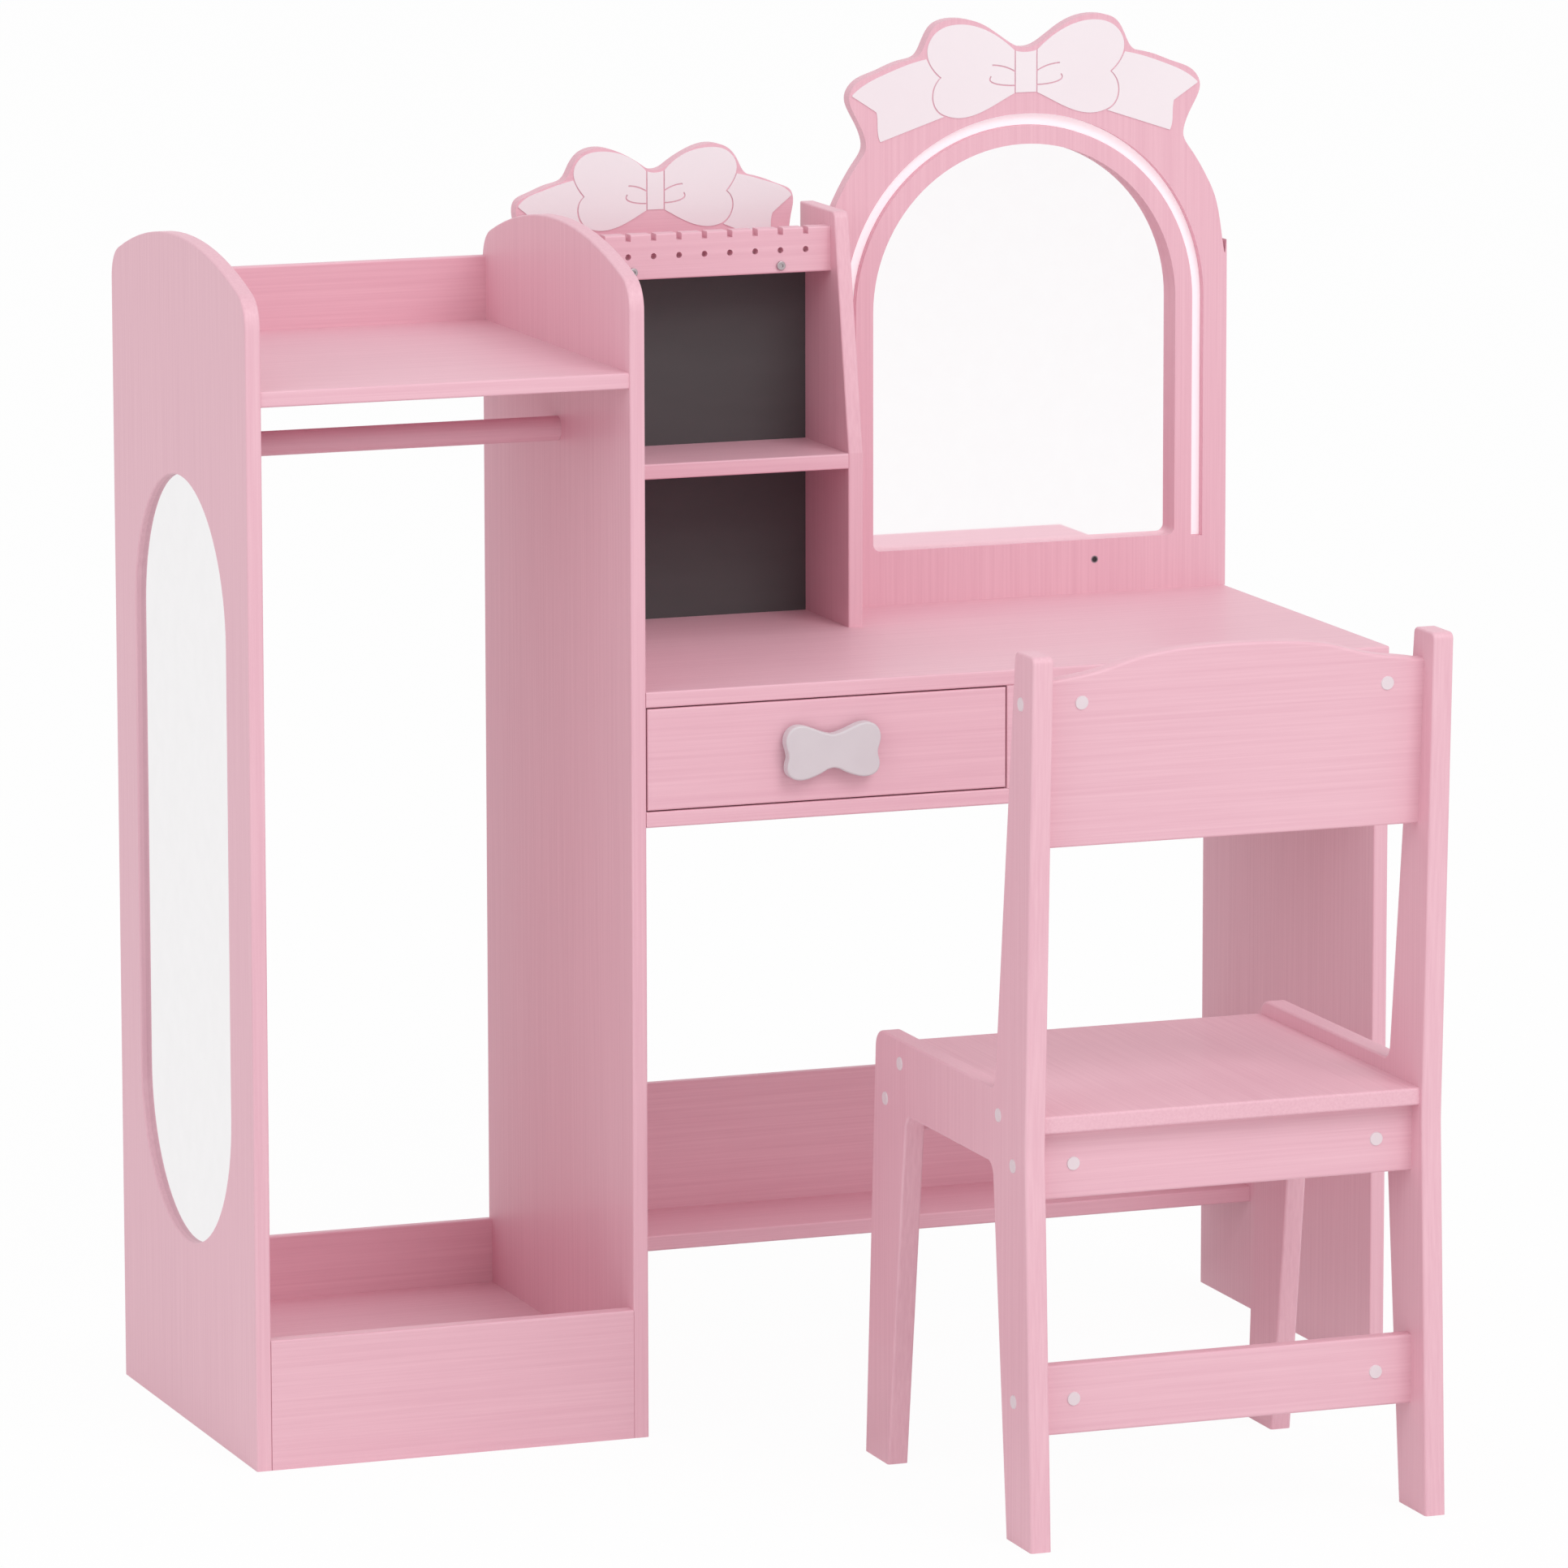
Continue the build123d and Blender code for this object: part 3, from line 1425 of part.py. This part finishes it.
with BuildPart() as chair_back_slab:
    with BuildSketch(slab_plane):
        half = chair_inside / 2
        crown = [(x * half, back_slab_end_rise + rise * back_slab_crown) for x, rise in slab_crown]
        with BuildLine():
            Spline(*crown, tangents=[(1, 0), (1, 0)])
            Polyline(crown[-1], (half, 0), (-half, 0), crown[0])
        make_face()
    extrude(amount=-rail_board)
    long_edges = chair_back_slab.edges().filter_by_position(Axis.X, chair_x - 1, chair_x + 1)
    fillet(long_edges, chair_edge_round)
    drill_chair_end(5, rail_board)

with BuildPart() as chair_bolts:
    recess_floor = chair_bolt_recess - chair_side_board
    rounds(chair_bolts_at, chair_bolt_radius, recess_floor, chair_bolt_reach)
    rounds(chair_bolts_at, chair_bolt_head, recess_floor - chair_bolt_head_height, recess_floor)

with BuildPart() as chair_barrel_nuts:
    rounds(nuts_at, nut_radius, -nut_length / 2, nut_length / 2)
    rounds(chair_bolts_at, chair_bolt_radius + slip, 0, chair_bolt_reach + slip, Mode.SUBTRACT)

outer_mouths = [
    Plane(origin=plane.offset(-chair_side_board).origin, z_dir=-plane.z_dir) for plane in chair_bolts_at
]

with BuildPart() as chair_caps:
    cones(outer_mouths + nut_mouths, cap_radius, cap_radius - cap_thickness / 2, 0, cap_thickness)
    rounds(outer_mouths + nut_mouths, nut_radius, -cap_plug, 0)

pieces = {
    "left_side_panel": left_side_panel,
    "oval_mirror": oval_mirror,
    "oval_mirror_backing": oval_mirror_backing,
    "oval_mirror_clips": oval_mirror_clips,
    "middle_panel": middle_panel,
    "wardrobe_top_shelf": wardrobe_top_shelf,
    "wardrobe_upper_back": wardrobe_upper_back,
    "wardrobe_bottom_shelf": wardrobe_bottom_shelf,
    "wardrobe_lower_back": wardrobe_lower_back,
    "kick_board": kick_board,
    "hanging_rod": hanging_rod,
    "desk_top": desk_top,
    "drawer_shelf": drawer_shelf,
    "desk_divider": desk_divider,
    "desk_rear_board": desk_rear_board,
    "right_side_panel": right_side_panel,
    "lower_rear_shelf": lower_rear_shelf,
    "lower_rear_back": lower_rear_back,
    "tower_side_panel": tower_side_panel,
    "tower_shelf": tower_shelf,
    "tower_roof": tower_roof,
    "chalkboard": chalkboard,
    "necklace_rack": necklace_rack,
    "rack_bolts": rack_bolts,
    "tower_crest_board": tower_crest_board,
    "tower_bow": tower_bow,
    "mirror_board": mirror_board,
    "mirror_bow": mirror_bow,
    "vanity_mirror": vanity_mirror,
    "mirror_backing": mirror_backing,
    "mirror_screws": mirror_screws,
    "light_strip": light_strip,
    "light_switch": light_switch,
    "light_controller": light_controller,
    "light_lead": light_lead,
    "drawer_front": drawer_front,
    "drawer_left_side": drawer_left_side,
    "drawer_right_side": drawer_right_side,
    "drawer_back": drawer_back,
    "drawer_bottom": drawer_bottom,
    "drawer_pegs": drawer_pegs,
    "drawer_knob": drawer_knob,
    "knob_screws": knob_screws,
    "fixed_runners": fixed_runners,
    "moving_runners": moving_runners,
    "fixed_runner_screws": fixed_runner_screws,
    "moving_runner_screws": moving_runner_screws,
    "wooden_pegs": wooden_pegs,
    "cam_bolts": cam_bolts,
    "cam_discs": cam_discs,
    "chair_left_side": chair_left_side,
    "chair_right_side": chair_right_side,
    "chair_seat": chair_seat,
    "chair_rear_rail": chair_rear_rail,
    "chair_front_rail": chair_front_rail,
    "chair_lower_rail": chair_lower_rail,
    "chair_back_slab": chair_back_slab,
    "chair_bolts": chair_bolts,
    "chair_barrel_nuts": chair_barrel_nuts,
    "chair_caps": chair_caps,
}
for label, piece in pieces.items():
    piece.part.label = label
    export_step(piece.part, f"parts/{label}.step")
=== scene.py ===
import math

import bpy
from mathutils import Matrix, Vector


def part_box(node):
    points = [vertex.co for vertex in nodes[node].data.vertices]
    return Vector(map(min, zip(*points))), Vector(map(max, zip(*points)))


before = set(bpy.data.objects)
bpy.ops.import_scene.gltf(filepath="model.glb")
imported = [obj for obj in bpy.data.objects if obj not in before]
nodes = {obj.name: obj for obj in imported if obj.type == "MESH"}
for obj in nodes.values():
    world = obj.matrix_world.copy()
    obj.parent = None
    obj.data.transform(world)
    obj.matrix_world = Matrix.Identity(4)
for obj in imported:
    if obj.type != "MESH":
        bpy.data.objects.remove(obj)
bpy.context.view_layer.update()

# Camera: a long lens in front and to the left of the set, looking down a little
PHOTO_PIXELS = 1932.0
SENSOR = 36.0
FOCAL_PIXELS = 12496.7
CAMERA_PLACE = (-2.66774, -7.00959, 1.82858)
CAMERA_YAW = 20.442
CAMERA_PITCH = 10.036
CAMERA_ROLL = 0.0917


class Value:
    """A shader socket that takes part in arithmetic: each operator adds one Math node."""

    def __init__(self, paint, socket):
        self.paint = paint
        self.socket = socket

    def _math(self, operation, *terms):
        return self.paint.node("ShaderNodeMath", {"operation": operation}, *terms)

    def __add__(self, other):
        return self._math("ADD", self, other)

    def __radd__(self, other):
        return self._math("ADD", other, self)

    def __sub__(self, other):
        return self._math("SUBTRACT", self, other)

    def __rsub__(self, other):
        return self._math("SUBTRACT", other, self)

    def __mul__(self, other):
        return self._math("MULTIPLY", self, other)

    def __rmul__(self, other):
        return self._math("MULTIPLY", other, self)

    def __pow__(self, other):
        return self._math("POWER", self, other)

    def __lt__(self, other):
        return self._math("LESS_THAN", self, other)

    def __gt__(self, other):
        return self._math("GREATER_THAN", self, other)


class Paint:
    """A material with one Principled shader, built up from nodes by type, settings and values."""

    def __init__(self, name):
        self.material = bpy.data.materials.new(name)
        self.material.use_nodes = True
        self.tree = self.material.node_tree
        self.tree.nodes.clear()
        self.output = self.tree.nodes.new("ShaderNodeOutputMaterial")

    def node(self, kind, settings=None, *values, out=0, **named):
        """Adds a node, sets its properties, fills its inputs and returns one of its outputs."""
        made = self.tree.nodes.new(kind)
        for key, setting in (settings or {}).items():
            setattr(made, key, setting)
        inputs = list(enumerate(values)) + [(key.replace("_", " "), v) for key, v in named.items()]
        for key, value in inputs:
            socket = made.inputs[key]
            if isinstance(value, Value):
                self.tree.links.new(value.socket, socket)
            else:
                socket.default_value = value
        return Value(self, made.outputs[out])

    def place(self, scale=(1, 1, 1)):
        """Object coordinates, in metres before they are stretched."""
        where = self.node("ShaderNodeTexCoord", out=3)
        return self.node("ShaderNodeMapping", None, where, Scale=scale)

    def noise(self, vector, scale, detail=2.0, rough=0.5):
        return self.node(
            "ShaderNodeTexNoise", None, Vector=vector, Scale=scale, Detail=detail, Roughness=rough
        )

    def blend(self, amount, first, second):
        """A colour between two others."""
        made = self.tree.nodes.new("ShaderNodeMix")
        made.data_type = "RGBA"
        for number, value in ((0, amount), (6, first), (7, second)):
            socket = made.inputs[number]
            if isinstance(value, Value):
                self.tree.links.new(value.socket, socket)
            else:
                socket.default_value = value
        return Value(self, made.outputs[2])

    def axes(self):
        """Object coordinates as three values."""
        where = self.node("ShaderNodeTexCoord", out=3)
        split = self.tree.nodes.new("ShaderNodeSeparateXYZ")
        self.tree.links.new(where.socket, split.inputs[0])
        return [Value(self, split.outputs[i]) for i in range(3)]

    def bump(self, height, strength, distance):
        return self.node(
            "ShaderNodeBump", None, Height=height, Strength=strength, Distance=distance
        )

    def finish(self, **sockets):
        """The Principled shader, its inputs given by name."""
        shader = self.node("ShaderNodeBsdfPrincipled", None, **sockets)
        self.tree.links.new(shader.socket, self.output.inputs["Surface"])
        return self.material


def srgb(red, green, blue):
    """A display colour, 0 to 255, as the linear colour that shaders take."""
    linear = [
        c / 12.92 if c <= 0.04045 else ((c + 0.055) / 1.055) ** 2.4
        for c in (red / 255, green / 255, blue / 255)
    ]
    return (*linear, 1.0)


# Share of the floor's own shading that the camera sees
FLOOR_SHADOW = 0.04
# Radius of the touch switch's dark window, in metres
SWITCH_WINDOW = 0.0021
# Grain noise cells to the metre along and across the grain
GRAIN_ALONG = 6.0
GRAIN_ACROSS = 520.0


def pink_paint(name, along):
    """Satin pink paint over a fine grain that runs along one axis of the board."""
    paint = Paint(name)
    stretch = [GRAIN_ACROSS] * 3
    stretch["XYZ".index(along)] = GRAIN_ALONG
    grain = paint.noise(paint.place(tuple(stretch)), 1.0, 3.0, 0.6)
    cloud = paint.noise(paint.place(), 5.0, 3.0)
    peel = paint.noise(paint.place(), 650.0, 2.0)
    tone = 1.5 * grain + 0.5 * cloud - 0.5
    colour = paint.blend(tone, srgb(227, 174, 189), srgb(239, 192, 204))
    height = 0.55 * peel + 0.45 * grain
    return paint.finish(
        Base_Color=colour,
        Roughness=0.40 + 0.16 * cloud + 0.06 * grain,
        Normal=paint.bump(height, 0.18, 0.00025),
        Coat_Weight=0.05,
    )


def white_paint():
    """White satin paint with a trace of pink, slightly uneven."""
    paint = Paint("white_bow_paint")
    cloud = paint.noise(paint.place(), 9.0, 3.0)
    peel = paint.noise(paint.place(), 700.0, 2.0)
    return paint.finish(
        Base_Color=paint.blend(cloud, srgb(240, 229, 234), srgb(244, 237, 240)),
        Roughness=0.42 + 0.1 * cloud,
        Normal=paint.bump(peel, 0.12, 0.0002),
    )


def knob_paint():
    """Pale grey paint on the knob."""
    paint = Paint("knob_grey_paint")
    cloud = paint.noise(paint.place(), 40.0, 3.0)
    peel = paint.noise(paint.place(), 800.0, 2.0)
    return paint.finish(
        Base_Color=paint.blend(cloud, srgb(209, 200, 205), srgb(217, 210, 214)),
        Roughness=0.45 + 0.08 * cloud,
        Normal=paint.bump(peel, 0.15, 0.0002),
    )


def chalk_paint():
    """Dark matt chalkboard paint with fine tooth and faint wiped streaks."""
    paint = Paint("chalkboard_paint")
    tooth = paint.noise(paint.place(), 2200.0, 2.0)
    wiped = paint.noise(paint.place((1.0, 1.0, 3.5)), 7.0, 4.0)
    tone = 0.35 * tooth + 0.65 * wiped
    return paint.finish(
        Base_Color=paint.blend(tone, srgb(66, 64, 65), srgb(88, 85, 86)),
        Roughness=0.72 + 0.12 * tooth,
        Normal=paint.bump(tooth, 0.25, 0.0002),
    )


def mirror_sheet(name, dark, light):
    """Silvered sheet, very slightly wavy."""
    paint = Paint(name)
    wave = paint.noise(paint.place(), 3.0, 1.0)
    haze = paint.noise(paint.place(), 60.0, 3.0)
    return paint.finish(
        Base_Color=paint.blend(haze, dark, light),
        Metallic=1.0,
        Roughness=0.015 + 0.02 * haze,
        Normal=paint.bump(wave, 0.02, 0.0005),
    )


def steel():
    """Zinc plated steel, finely brushed and a little mottled."""
    paint = Paint("zinc_plated_steel")
    brushed = paint.noise(paint.place((60.0, 1400.0, 1400.0)), 1.0, 2.0)
    mottle = paint.noise(paint.place(), 180.0, 3.0)
    return paint.finish(
        Base_Color=paint.blend(
            0.5 * brushed + 0.5 * mottle, srgb(158, 149, 152), srgb(202, 192, 195)
        ),
        Metallic=1.0,
        Roughness=0.28 + 0.2 * mottle,
        Normal=paint.bump(brushed, 0.1, 0.0001),
    )


def moulded_plastic(name, dark, light):
    """Moulded plastic with a fine spark texture."""
    paint = Paint(name)
    spark = paint.noise(paint.place(), 1500.0, 2.0)
    cloud = paint.noise(paint.place(), 30.0, 2.0)
    return paint.finish(
        Base_Color=paint.blend(cloud, dark, light),
        Roughness=0.38 + 0.1 * spark,
        Normal=paint.bump(spark, 0.15, 0.0001),
    )


def beech():
    """Bare beech of the pegs, with short dark flecks."""
    paint = Paint("bare_beech")
    grain = paint.noise(paint.place((60.0, 900.0, 900.0)), 1.0, 4.0)
    fleck = paint.noise(paint.place((300.0, 2200.0, 2200.0)), 1.0, 2.0) > 0.66
    tone = grain - 0.3 * fleck
    return paint.finish(
        Base_Color=paint.blend(tone, srgb(178, 134, 88), srgb(214, 176, 128)),
        Roughness=0.6 + 0.2 * grain,
        Normal=paint.bump(grain, 0.3, 0.0002),
    )


def diffuser_with_painted_glow():
    """Milky strip over the light, with a faint painted glow that lifts it above the pink beside it;
    the light in it is off.
    """
    paint = Paint("light_diffuser")
    cloud = paint.noise(paint.place(), 80.0, 2.0)
    return paint.finish(
        Base_Color=paint.blend(cloud, srgb(250, 243, 247), srgb(253, 249, 251)),
        Roughness=0.34 + 0.1 * cloud,
        # Painted glow: the strip gives off a little light of its own, though its light is off
        Emission_Color=srgb(255, 246, 250),
        Emission_Strength=0.22,
    )


def switch_metal():
    """The touch switch: a bright ring round a dark window, told apart by distance from its axis."""
    low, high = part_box("light_switch")
    centre = [(a + b) / 2 for a, b in zip(low, high)]
    paint = Paint("switch_metal")
    x, y, z = paint.axes()
    away = ((x - centre[0]) ** 2.0 + (z - centre[2]) ** 2.0) ** 0.5
    window = away < SWITCH_WINDOW
    scratch = paint.noise(paint.place(), 2400.0, 2.0)
    return paint.finish(
        Base_Color=paint.blend(window, srgb(150, 140, 145), srgb(40, 36, 39)),
        Metallic=0.6 - 0.6 * window,
        Roughness=0.3 + 0.15 * scratch,
        Normal=paint.bump(scratch, 0.1, 0.0001),
    )


paints = {
    "X": pink_paint("pink_paint_grain_across", "X"),
    "Y": pink_paint("pink_paint_grain_back", "Y"),
    "Z": pink_paint("pink_paint_grain_up", "Z"),
    "white": white_paint(),
    "knob": knob_paint(),
    "chalk": chalk_paint(),
    "mirror": mirror_sheet("mirror_sheet", srgb(252, 249, 250), srgb(254, 252, 253)),
    "side_mirror": mirror_sheet("side_mirror_sheet", srgb(238, 236, 237), srgb(243, 241, 242)),
    "steel": steel(),
    "caps": moulded_plastic("cap_plastic", srgb(226, 211, 217), srgb(233, 220, 225)),
    "white_plastic": moulded_plastic("white_plastic", srgb(236, 234, 235), srgb(243, 241, 242)),
    "beech": beech(),
    # The light strip's material carries a painted glow
    "diffuser_with_painted_glow": diffuser_with_painted_glow(),
    "switch": switch_metal(),
}

finishes = {
    "white": "mirror_bow tower_bow",
    "knob": "drawer_knob",
    "chalk": "chalkboard",
    "mirror": "vanity_mirror",
    "side_mirror": "oval_mirror",
    "steel": (
        "mirror_screws rack_bolts knob_screws fixed_runners moving_runners fixed_runner_screws "
        "moving_runner_screws cam_bolts cam_discs chair_bolts chair_barrel_nuts"
    ),
    "caps": "chair_caps oval_mirror_clips",
    "white_plastic": "light_controller light_lead",
    "beech": "wooden_pegs drawer_pegs",
    "diffuser_with_painted_glow": "light_strip",
    "switch": "light_switch",
    "Z": (
        "left_side_panel middle_panel right_side_panel tower_side_panel mirror_board "
        "chair_left_side chair_right_side oval_mirror_backing mirror_backing"
    ),
    "Y": "chair_seat drawer_left_side drawer_right_side",
}
paint_of = {node: paints[key] for key, names in finishes.items() for node in names.split()}
for name, node in nodes.items():
    node.data.materials.clear()
    node.data.materials.append(paint_of.get(name, paints["X"]))


def camera():
    """A long lens at the photograph's place and angle."""
    data = bpy.data.cameras.new("photo_camera")
    data.sensor_width = SENSOR
    data.lens = FOCAL_PIXELS * SENSOR / PHOTO_PIXELS
    data.clip_start = 0.1
    data.clip_end = 60.0
    eye = bpy.data.objects.new("photo_camera", data)
    bpy.context.scene.collection.objects.link(eye)
    turn = (
        Matrix.Rotation(math.radians(-CAMERA_YAW), 4, "Z")
        @ Matrix.Rotation(math.radians(90 - CAMERA_PITCH), 4, "X")
        @ Matrix.Rotation(math.radians(-CAMERA_ROLL), 4, "Z")
    )
    eye.matrix_world = Matrix.Translation(Vector(CAMERA_PLACE)) @ turn
    bpy.context.scene.camera = eye


def lamp(name, place, aim, size, watts):
    """A square soft lamp turned towards a point."""
    data = bpy.data.lights.new(name, "AREA")
    data.shape = "SQUARE"
    data.size = size
    data.energy = watts
    light = bpy.data.objects.new(name, data)
    light.location = place
    light.rotation_mode = "QUATERNION"
    light.rotation_quaternion = (Vector(aim) - Vector(place)).to_track_quat("-Z", "Y")
    bpy.context.scene.collection.objects.link(light)


def seen_white(paint, surface, kept):
    """Mixes plain white over a surface for camera, glossy and transmission rays."""
    rays = paint.tree.nodes.new("ShaderNodeLightPath")
    seen = Value(paint, rays.outputs["Is Camera Ray"])
    for name in ("Is Glossy Ray", "Is Transmission Ray"):
        seen = paint.node(
            "ShaderNodeMath", {"operation": "MAXIMUM"}, seen, Value(paint, rays.outputs[name])
        )
    white = paint.node("ShaderNodeEmission", None, Color=(1, 1, 1, 1), Strength=1.0)
    return paint.node("ShaderNodeMixShader", None, (1 - kept) * seen, surface, white)


def floor():
    """A wide pale floor that keeps only a soft shadow of the furniture."""
    reach = 30.0
    mesh = bpy.data.meshes.new("floor")
    corners = [(-reach, -reach, 0), (reach, -reach, 0), (reach, reach, 0), (-reach, reach, 0)]
    mesh.from_pydata(corners, [], [(0, 1, 2, 3)])
    ground = bpy.data.objects.new("floor", mesh)
    bpy.context.scene.collection.objects.link(ground)
    paint = Paint("pale_floor")
    bare = paint.node("ShaderNodeBsdfDiffuse", None, Color=(0.9, 0.89, 0.89, 1))
    paint.tree.links.new(seen_white(paint, bare, FLOOR_SHADOW).socket, paint.output.inputs["Surface"])
    mesh.materials.append(paint.material)


def surroundings(level):
    """White all round where it is seen, and an even grey-white light elsewhere."""
    world = bpy.data.worlds.new("studio")
    bpy.context.scene.world = world
    world.use_nodes = True
    tree = world.node_tree
    tree.nodes.clear()
    rays = tree.nodes.new("ShaderNodeLightPath")
    seen = rays.outputs["Is Camera Ray"]
    for name in ("Is Glossy Ray", "Is Transmission Ray"):
        either = tree.nodes.new("ShaderNodeMath")
        either.operation = "MAXIMUM"
        tree.links.new(seen, either.inputs[0])
        tree.links.new(rays.outputs[name], either.inputs[1])
        seen = either.outputs[0]
    strength = tree.nodes.new("ShaderNodeMapRange")
    strength.inputs["To Min"].default_value = level
    strength.inputs["To Max"].default_value = 1.0
    tree.links.new(seen, strength.inputs["Value"])
    sky = tree.nodes.new("ShaderNodeBackground")
    sky.inputs["Color"].default_value = (1, 1, 1, 1)
    tree.links.new(strength.outputs[0], sky.inputs["Strength"])
    output = tree.nodes.new("ShaderNodeOutputWorld")
    tree.links.new(sky.outputs[0], output.inputs["Surface"])


camera()
surroundings(0.76)
lamp("key_lamp", (1.2, -4.2, 4.6), (0, 0, 0.5), 2.8, 104)
lamp("side_lamp", (-4.0, -2.0, 2.6), (0, 0, 0.5), 2.5, 20)
floor()

scene = bpy.context.scene
scene.view_settings.view_transform = "Standard"
